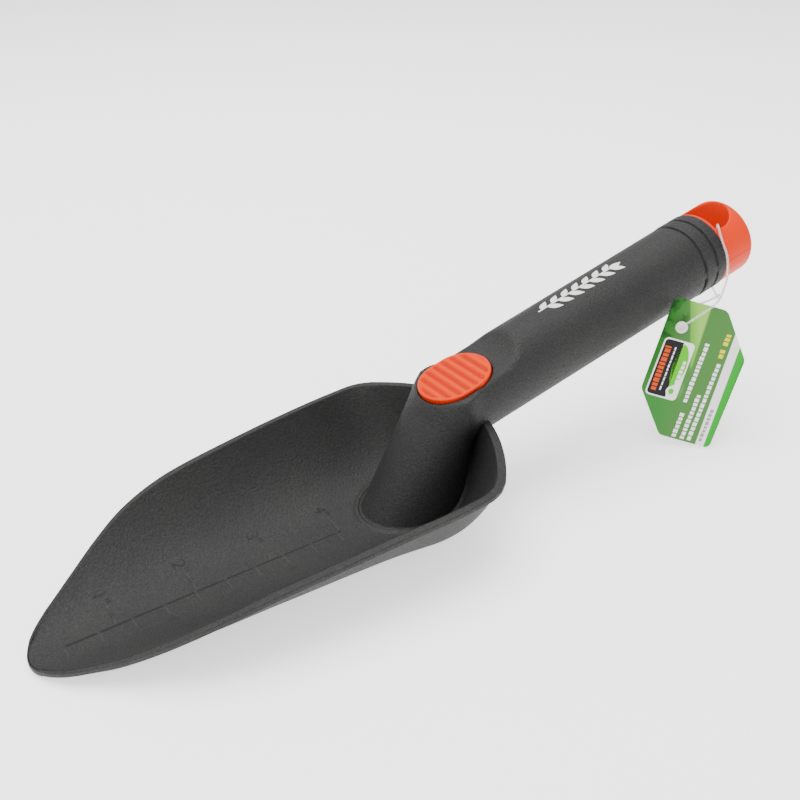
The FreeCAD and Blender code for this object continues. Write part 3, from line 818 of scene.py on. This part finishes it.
TAG_WIDTH = 32.0
TAG_LENGTH = 52.6
TAG_LEFT = -5.6
TAG_RIGHT = TAG_LEFT + TAG_WIDTH
TAG_TOP = 9.8
TAG_FOOT = TAG_TOP - TAG_LENGTH
TAG_HOLE_RADIUS = 1.5
# Each corner's place and rounding.
TAG_CORNERS = [(TAG_LEFT, TAG_TOP, 2.2), (TAG_RIGHT - 12.5, TAG_TOP, 3.5),
               (TAG_RIGHT, TAG_TOP - 16.0, 4.0), (TAG_RIGHT, TAG_FOOT, 2.2),
               (TAG_LEFT + 12.5, TAG_FOOT, 3.0), (TAG_LEFT, TAG_FOOT + 16.0, 3.5)]


def rounded_outline(corners, steps=8):
    """A closed outline from (x, y, rounding) corners, as points."""
    points = []
    count = len(corners)
    for i, (x, y, rounding) in enumerate(corners):
        corner_at = np.array([x, y])
        before = np.array(corners[i - 1][:2]) - corner_at
        after = np.array(corners[(i + 1) % count][:2]) - corner_at
        before /= np.linalg.norm(before)
        after /= np.linalg.norm(after)
        half = math.acos(float(np.clip(before @ after, -1, 1))) / 2
        first = corner_at + before * rounding / math.tan(half)
        last = corner_at + after * rounding / math.tan(half)
        bisector = (before + after) / np.linalg.norm(before + after)
        centre = corner_at + bisector * rounding / math.sin(half)
        start = math.atan2(*(first - centre)[::-1])
        sweep = math.atan2(*(last - centre)[::-1]) - start
        sweep = (sweep + math.pi) % (2 * math.pi) - math.pi
        for step in range(steps + 1):
            angle = start + sweep * step / steps
            points.append(centre + rounding * np.array([math.cos(angle), math.sin(angle)]))
    return np.array(points)


def card_mesh():
    """The tag's card: its cut outline, its hole and its slightly eased edges."""
    outline = rounded_outline(TAG_CORNERS)
    angles = np.arctan2(outline[:, 1], outline[:, 0])
    hole = TAG_HOLE_RADIUS * np.stack([np.cos(angles), np.sin(angles)], axis=1)
    eased = outline * 0.994
    levels = [(hole, 0.0), (hole + (outline - hole) * 0.5, 0.0), (eased, 0.0),
              (outline, -0.1), (outline, 0.1 - TAG_THICKNESS),
              (eased, -TAG_THICKNESS), (hole, -TAG_THICKNESS)]
    rings = [on_tag(ring[:, 0], ring[:, 1], np.full(len(ring), level))
             for ring, level in levels]
    points, faces = rings_mesh(rings)
    count = len(outline)
    last = (len(rings) - 1) * count
    for column in range(count):
        after = (column + 1) % count
        faces.append([last + column, last + after, after, column])
    return points, faces


def lay_out(piece, frame_at):
    """Gives a piece flat coordinates from 0 to 1, for its shader, from its own axes."""
    layer = piece.data.uv_layers.new(name="layout")
    corners = np.zeros(len(piece.data.loops), dtype=int)
    piece.data.loops.foreach_get("vertex_index", corners)
    where = np.zeros(len(piece.data.vertices) * 3)
    piece.data.vertices.foreach_get("co", where)
    flat = frame_at(where.reshape(-1, 3) * 1000.0 - ORIGIN)
    layer.data.foreach_set("uv", flat[corners].ravel())


PRINT_SPAN = 60.0


def tag_layout(points):
    """Flat coordinates on the tag, from its lower left corner."""
    offset = points - TAG_HOLE
    return np.stack([(offset @ TAG_ACROSS - TAG_LEFT) / PRINT_SPAN,
                     (offset @ TAG_UP - TAG_FOOT) / PRINT_SPAN], axis=1)


def printed_card():
    """Coated card printed with soft green fields, a light beam, a white and a green band."""
    shader = Shader("printed_card", roughness=0.34, IOR=1.48, Specular_IOR_Level=0.08)
    split = shader.add("SeparateXYZ")
    shader.link(shader.add("UVMap", uv_map="layout").outputs["UV"], split.inputs["Vector"])

    def arithmetic(kind, first, second):
        node = shader.add("Math", operation=kind)
        for value, socket in zip((first, second), node.inputs):
            if isinstance(value, (int, float)):
                socket.default_value = value
            else:
                shader.link(value, socket)
        return node.outputs["Value"]

    across = arithmetic("ADD", arithmetic("MULTIPLY", split.outputs["X"], PRINT_SPAN), TAG_LEFT)
    height = arithmetic("ADD", arithmetic("MULTIPLY", split.outputs["Y"], PRINT_SPAN), TAG_FOOT)

    def past(value, low, high):
        """A share that goes from 0 to 1 as a value goes from low to high."""
        return shader.stretch(value, 0.0, 1.0, low, high)

    def sloped(at_zero, lean):
        """How far across a point is from a line that leans with height."""
        return arithmetic("SUBTRACT", across,
                          arithmetic("ADD", arithmetic("MULTIPLY", height, lean), at_zero))

    def both(first, second):
        return arithmetic("MULTIPLY", first, second)

    blotches = shader.noise(240.0, 2.0, 0.5)
    colour = shader.mix(past(across, -5.5, 2.0), linear(28, 98, 24), linear(72, 118, 60))
    colour = shader.mix(both(past(height, -16.0, -30.0), past(across, 12.0, 2.0)), colour,
                        linear(52, 122, 52))
    lower_beam = both(both(past(sloped(-5.6, -0.55), -1.0, 2.5), past(across, 9.6, 8.9)),
                      past(height, -20.0, -25.0))
    colour = shader.mix(both(lower_beam, 0.6), colour, linear(104, 164, 76))
    beam = both(both(past(sloped(4.0, -0.36), -0.7, 0.7), past(sloped(8.3, -0.05), 0.5, -0.3)),
                past(height, -16.5, -14.0))
    colour = shader.mix(beam, colour, linear(140, 186, 84))
    glow = both(beam, past(sloped(4.0, -0.36), 3.2, 0.5))
    colour = shader.mix(both(glow, 0.75), colour, linear(84, 168, 40))
    dark = both(both(past(blotches, 0.46, 0.6), past(across, 2.5, -2.0)),
                past(height, -9.0, -3.0))
    colour = shader.mix(both(dark, 0.85), colour, linear(12, 48, 14))
    colour = shader.mix(past(sloped(19.6, -0.032), -0.06, 0.06), colour, linear(232, 229, 227))
    colour = shader.mix(past(sloped(22.8, -0.032), -0.06, 0.06), colour, linear(40, 150, 44))
    colour = shader.mix(both(past(sloped(25.0, -0.032), -0.5, 1.2), 0.5), colour,
                        linear(28, 118, 32))
    shader.colour(colour)
    shader.roughness(shader.stretch(shader.noise(900.0), 0.3, 0.42))
    shader.bump([(shader.noise(1500.0, 2.0), 0.12, 0.00004)])
    return shader.material


def ink(name, colour, spread=0.93):
    """Printed ink, a little uneven."""
    shader = Shader(name, roughness=0.4, Specular_IOR_Level=0.1)
    faded = tuple(value * spread for value in colour[:3]) + (1.0,)
    shader.colour(shader.ramp(shader.noise(1800.0, 2.0), [(0.35, faded), (0.65, colour)]))
    shader.roughness(shader.stretch(shader.noise(700.0), 0.34, 0.46))
    return shader.material


card = make_piece("tag_card", *card_mesh(), printed_card(), "tag", "tag_card", smooth=False)
lay_out(card, tag_layout)
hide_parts("hang_tag")


def decal_mesh(outlines, place, top, bottom):
    """Thin raised patches from closed outlines, set on a surface by place(a, b, height)."""
    parts = []
    for outline in outlines:
        count = len(outline)
        under = count + 1
        spots = np.vstack([outline, np.mean(outline, axis=0)])
        points = np.concatenate([place(*spots.T, np.full(under, height))
                                 for height in (top, bottom)])
        faces = []
        for i in range(count):
            after = (i + 1) % count
            faces.append([count, i, after])
            faces.append([i, under + i, under + after, after])
            faces.append([under + count, under + after, under + i])
        parts.append((points, faces))
    return join(parts)


def block(low_x, low_y, high_x, high_y):
    return [(low_x, low_y), (high_x, low_y), (high_x, high_y), (low_x, high_y)]


def oval(x, y, half_x, half_y, count):
    """An oval outline."""
    return [(x + half_x * math.cos(t), y + half_y * math.sin(t))
            for t in np.linspace(0, 2 * math.pi, count, endpoint=False)]


def blocks(across, low, high, width, seed):
    """A run of plain blocks up the tag, standing in for a line of print."""
    draw = np.random.default_rng(seed)
    out = []
    height = low
    while height < high - 0.6:
        length = min(draw.uniform(1.0, 1.7), high - height)
        inset = draw.uniform(0.0, 0.18) * width
        out.append(block(across - width / 2 + inset, height, across + width / 2,
                         height + length))
        height += length + 0.42
    return out


def print_on_tag(name, outlines, colour, layer=1):
    """Ink in closed outlines on the tag, in thin layers over each other."""
    make_piece(name, *decal_mesh(outlines, on_tag, layer * INK, (layer - 1) * INK),
               ink(name + "_ink", colour), "tag", "tag_card", smooth=False)


INK = 0.03
white = linear(236, 235, 232)
leaf_green = linear(84, 184, 20)
print_on_tag("print_lines", blocks(11.4, -27.6, -3.8, 1.7, 1) + blocks(12.2, -42.0, -31.0, 1.7, 2)
             + blocks(15.4, -42.0, -23.4, 1.7, 3) + blocks(18.0, -41.8, -10.0, 1.6, 4), white)
print_on_tag("print_size", blocks(17.5, -7.8, -4.4, 1.9, 5) + blocks(17.5, -2.8, 1.6, 1.9, 6),
             linear(214, 206, 20))
print_on_tag("print_code", blocks(22.1, -41.0, -27.0, 1.3, 7), linear(150, 148, 150))
print_on_tag("print_frame", [rounded_outline([(-3.9, -28.4, 1.6), (8.0, -28.4, 1.6),
                                              (7.6, -5.2, 1.6), (-3.7, -5.2, 1.6)])], white)
print_on_tag("print_panel", [rounded_outline([(-3.3, -27.8, 1.2), (3.9, -27.8, 0.3),
                                              (3.4, -5.8, 0.3), (-3.2, -5.8, 1.2)])],
             linear(34, 32, 36), layer=2)
arc = [(3.4 + 3.9 * math.sin(t), -14.8 + 8.6 * math.cos(t)) for t in np.linspace(0.1, 3.0, 20)]
print_on_tag("print_leaf", [arc + [(3.0, -20.5), (2.3, -15.0), (2.7, -9.5)]], leaf_green, layer=2)
print_on_tag("print_bars", blocks(-1.5, -26.2, -8.4, 2.3, 8), linear(206, 74, 10), layer=3)
print_on_tag("print_rule", blocks(1.1, -25.6, -7.2, 0.6, 9), white, layer=3)
print_on_tag("print_sprout", blocks(6.0, -21.6, -11.8, 1.3, 10)
             + [oval(5.2, -25.0, 1.9, 2.0, 24)], white, layer=3)
print_on_tag("print_dot", [oval(5.2, -25.0, 1.0, 1.1, 20)], leaf_green, layer=4)

# -------- loop and its lock
LOOP_DIAMETER = 0.8
# From the tag's hole, up through the hanging hole, under the handle and back to the tag.
LOOP_ROUTE = [
    (236.9, -21.1, 46.4), (241.0, -24.3, 50.7), (244.6, -26.8, 54.3), (249.6, -25.2, 55.8),
    (254.4, -22.3, 56.0), (258.6, -19.9, 57.2), (261.8, -17.9, 59.0), (263.3, -16.3, 61.9),
    (262.4, -15.6, 66.2), (261.2, -14.1, 70.0), (261.3, -11.8, 73.5), (262.6, -9.2, 75.9),
    (265.2, -7.3, 74.6), (266.8, -6.0, 70.0), (268.2, -5.0, 63.8), (269.8, -4.0, 57.6),
    (271.2, -2.9, 51.5), (270.8, -6.4, 46.6), (267.6, -12.0, 45.6), (263.4, -15.8, 48.6),
    (258.7, -18.2, 52.2), (254.0, -19.9, 52.6), (249.0, -20.8, 53.0), (243.5, -17.6, 50.6),
    (241.0, -15.8, 46.6), (239.5, -16.9, 44.7), (236.1, -20.5, 45.6),
]

clear = Shader("clear_filament", roughness=0.25, IOR=1.4)
clear.out.inputs["Transmission Weight"].default_value = 0.72
clear.colour(clear.mottled(400.0, (0.86, 0.86, 0.85, 1), (0.93, 0.93, 0.93, 1)))
clear.roughness(clear.stretch(clear.noise(1500.0), 0.18, 0.3))

line = bpy.data.curves.new("tag_filament", "CURVE")
line.dimensions = "3D"
line.bevel_depth = LOOP_DIAMETER / 2000.0
line.bevel_resolution = 4
line.resolution_u = 10
line.use_fill_caps = True
spline = line.splines.new("NURBS")
spline.points.add(len(LOOP_ROUTE) - 1)
for point, place in zip(spline.points, metres(LOOP_ROUTE)):
    point.co = (*place, 1.0)
spline.order_u = 3
spline.use_endpoint_u = True
line.materials.append(clear.material)
filament = add_object("tag_filament", line)
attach(filament, "loop")
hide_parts("tag_loop")

LOCK_GAP = 1.3
LOCK_RADIUS = 2.2
LOCK_THICKNESS = 1.5
LOCK_ROUND = 0.5


def lock_mesh():
    """The filament's moulded head: a round button with a dimple."""
    angles = np.linspace(0, 2 * math.pi, 64, endpoint=False)
    section = [(LOCK_RADIUS - 0.3, 0.0), (LOCK_RADIUS, 0.3)]
    for angle in np.linspace(0, math.pi / 2, 6):
        section.append((LOCK_RADIUS - LOCK_ROUND * (1 - math.cos(angle)),
                        LOCK_THICKNESS - LOCK_ROUND * (1 - math.sin(angle))))
    section += [(1.25, LOCK_THICKNESS), (1.0, LOCK_THICKNESS - 0.12),
                (0.85, LOCK_THICKNESS - 0.35), (0.3, LOCK_THICKNESS - 0.4)]
    rings = [on_tag(radius * np.cos(angles), radius * np.sin(angles),
                    np.full(len(angles), LOCK_GAP + front)) for radius, front in section]
    return rings_mesh(rings, close_first=True, close_last=True)


milky = Shader("milky_plastic", roughness=0.35, IOR=1.49)
milky.out.inputs["Subsurface Weight"].default_value = 0.15
milky.colour(milky.mottled(500.0, linear(196, 190, 184), linear(222, 217, 212)))
milky.roughness(milky.stretch(milky.noise(1400.0), 0.28, 0.42))
lock = make_piece("filament_lock", *lock_mesh(), milky.material, "loop", "loop_filament")
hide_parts("loop_lock")
tuple(metres([LOOP_ROUTE[0]])[0])

# -------- moulded depth scale
CENTIMETRE = 10.0
INCH = 25.4
DASH_STEP = 2.25
CAPITALS = 0.73  # the height of capitals and numerals, as a share of the font's size


def on_floor(x, y, height):
    """Design points on the scoop's floor."""
    x, y, height = np.broadcast_arrays(x, y, height)
    return np.array([(a, b, floor_height(a, b) + c) for a, b, c in zip(x, y, height)])


def moulded(name, points, faces, colour):
    """A piece of the depth scale, in the body's plastic with a colour of its own: near black on
    the middle line and the inch numerals as painted shade, lighter than the body on the ticks as
    painted highlight.
    """
    material = grained_plastic(name + "_plastic", colour, colour, grain=0.3)
    make_piece(name, points, faces, material, "trowel", "body_plastic", smooth=False)


# The middle line is cut from centimetre to centimetre, each part a little thinner.
line_parts = []
for mark in range(1, 10):
    half = 0.4 - 0.022 * mark
    for part in range(4):
        start = CENTIMETRE * mark + 0.5 + part * DASH_STEP
        line_parts.append(block(start, -half, start + DASH_STEP + 0.03, half))
line_parts.append(block(100.5, -0.2, 101.6, 0.2))
# Painted shade: the middle line is a near black strip standing in for the shade in an engraved
# groove.
moulded("scale_line", *decal_mesh(line_parts, on_floor, 0.05, -0.15), linear(4, 4, 4))
# Painted highlight: the ticks are coloured lighter than the body, for the light caught on their
# edges.
ticks = [block(CENTIMETRE * mark - 0.2, -5.0, CENTIMETRE * mark + 0.2, -0.9)
         for mark in range(1, 11)]
ticks += [block(INCH * mark - 0.22, 1.0, INCH * mark + 0.22, 8.6) for mark in range(1, 5)]
moulded("scale_ticks", *decal_mesh(ticks, on_floor, 0.05, -0.15), linear(49, 49, 48))


def numeral(name, text, x, y, height, colour):
    """A moulded numeral whose top points to the handle."""
    letters = bpy.data.curves.new(name, "FONT")
    letters.body = text
    letters.size = height / CAPITALS
    letters.extrude = 0.06
    helper = bpy.data.objects.new(name + "_text", letters)
    flat = bpy.data.meshes.new_from_object(helper)
    across, upward, out = np.array([vertex.co for vertex in flat.vertices]).T
    points = on_floor(x + upward, y - across, out)
    faces = [list(face.vertices) for face in flat.polygons]
    bpy.data.objects.remove(helper)
    bpy.data.meshes.remove(flat)
    bpy.data.curves.remove(letters)
    moulded(name, points, faces, colour)


# Painted shade: the inch numerals are coloured near black for the shade in their relief; the
# centimetre numerals keep about the body's own tone.
for mark in range(1, 5):
    numeral("inch_%d" % mark, "%d\"" % mark, INCH * mark - 2.6, 14.4, 4.4, linear(6, 6, 6))
for mark in range(2, 10, 2):
    numeral("cm_%d" % mark, "%d" % mark, CENTIMETRE * mark - 1.6, -6.2, 3.2,
            linear(33, 33, 33))

# -------- emblem on the handle
EMBLEM_START = -78.5
STEM_STEP = 2.0
LEAF_STEP = 5.0
LEAF_LENGTH = 5.6
LEAF_TURN = 0.62


def on_grip(run, side, height):
    """Points on the handle's top, by run from the seam and by the way round it."""
    run = np.asarray(run, dtype=float)
    radius = handle_radius(run + HANDLE_LENGTH)
    angle = np.asarray(side, dtype=float) / radius
    radius = radius + height
    return on_handle(run, radius * np.sin(angle), radius * np.cos(angle))


def leaf(run, side, width, turn):
    """A leaf's outline, from its stalk."""
    steps = np.linspace(0, 1, 9)
    swell = width / 2 * np.sin(math.pi * steps ** 0.85)
    rim = [(LEAF_LENGTH * s, w) for s, w in zip(steps, swell)]
    rim += [(LEAF_LENGTH * s, -w) for s, w in zip(steps[-2:0:-1], swell[-2:0:-1])]
    cosine = math.cos(turn)
    sine = math.sin(turn)
    return [(run + a * cosine - b * sine, side + a * sine + b * cosine) for a, b in rim]


emblem = []
for i in range(17):
    stem = EMBLEM_START + STEM_STEP * i
    emblem.append(block(stem, -0.28, stem + STEM_STEP + 0.1, 0.28))
for i in range(7):
    stalk = EMBLEM_START + 1.5 + LEAF_STEP * i
    emblem.append(leaf(stalk, 0.2, 2.3, LEAF_TURN))
    emblem.append(leaf(stalk + LEAF_STEP / 2, -0.2, 2.3, -LEAF_TURN))
emblem.append(leaf(-44.6, 0.0, 2.5, 0.0))
make_piece("leaf_emblem", *decal_mesh(emblem, on_grip, 0.07, -0.1),
           ink("emblem_ink", linear(232, 231, 229)), "trowel", "body_plastic", smooth=False)

# -------- floor and light
floor_mesh = bpy.data.meshes.new("floor")
floor_mesh.from_pydata([(-6, -6, 0), (6, -6, 0), (6, 6, 0), (-6, 6, 0)], [], [(0, 1, 2, 3)])
floor = add_object("floor", floor_mesh)
paper = Shader("pale_floor", roughness=0.8, Emission_Strength=1.1)
paper.out.inputs["Emission Color"].default_value = (1, 1, 1, 1)
paper.colour(paper.mottled(3.0, (0.93, 0.93, 0.93, 1), (0.95, 0.95, 0.95, 1)))
floor_mesh.materials.append(paper.material)


def softbox(name, place, target, width, height, power):
    """A rectangular lamp at a place, turned to a target."""
    lamp = bpy.data.lights.new(name, "AREA")
    lamp.shape = "RECTANGLE"
    lamp.size = width
    lamp.size_y = height
    lamp.energy = power
    light = add_object(name, lamp)
    light.location = place
    aim = Vector(target) - Vector(place)
    light.rotation_euler = aim.to_track_quat("-Z", "Y").to_euler()


softbox("top_light", (-0.1, 0.25, 1.3), (0, 0, 0), 1.4, 1.1, 32.0)
softbox("left_light", (-1.2, -0.5, 0.8), (0, 0, 0.03), 0.9, 0.9, 7.0)
world = bpy.data.worlds.new("studio")
bpy.context.scene.world = world
world.use_nodes = True
world.node_tree.nodes["Background"].inputs["Color"].default_value = (1, 1, 1, 1)
world.node_tree.nodes["Background"].inputs["Strength"].default_value = 0.95
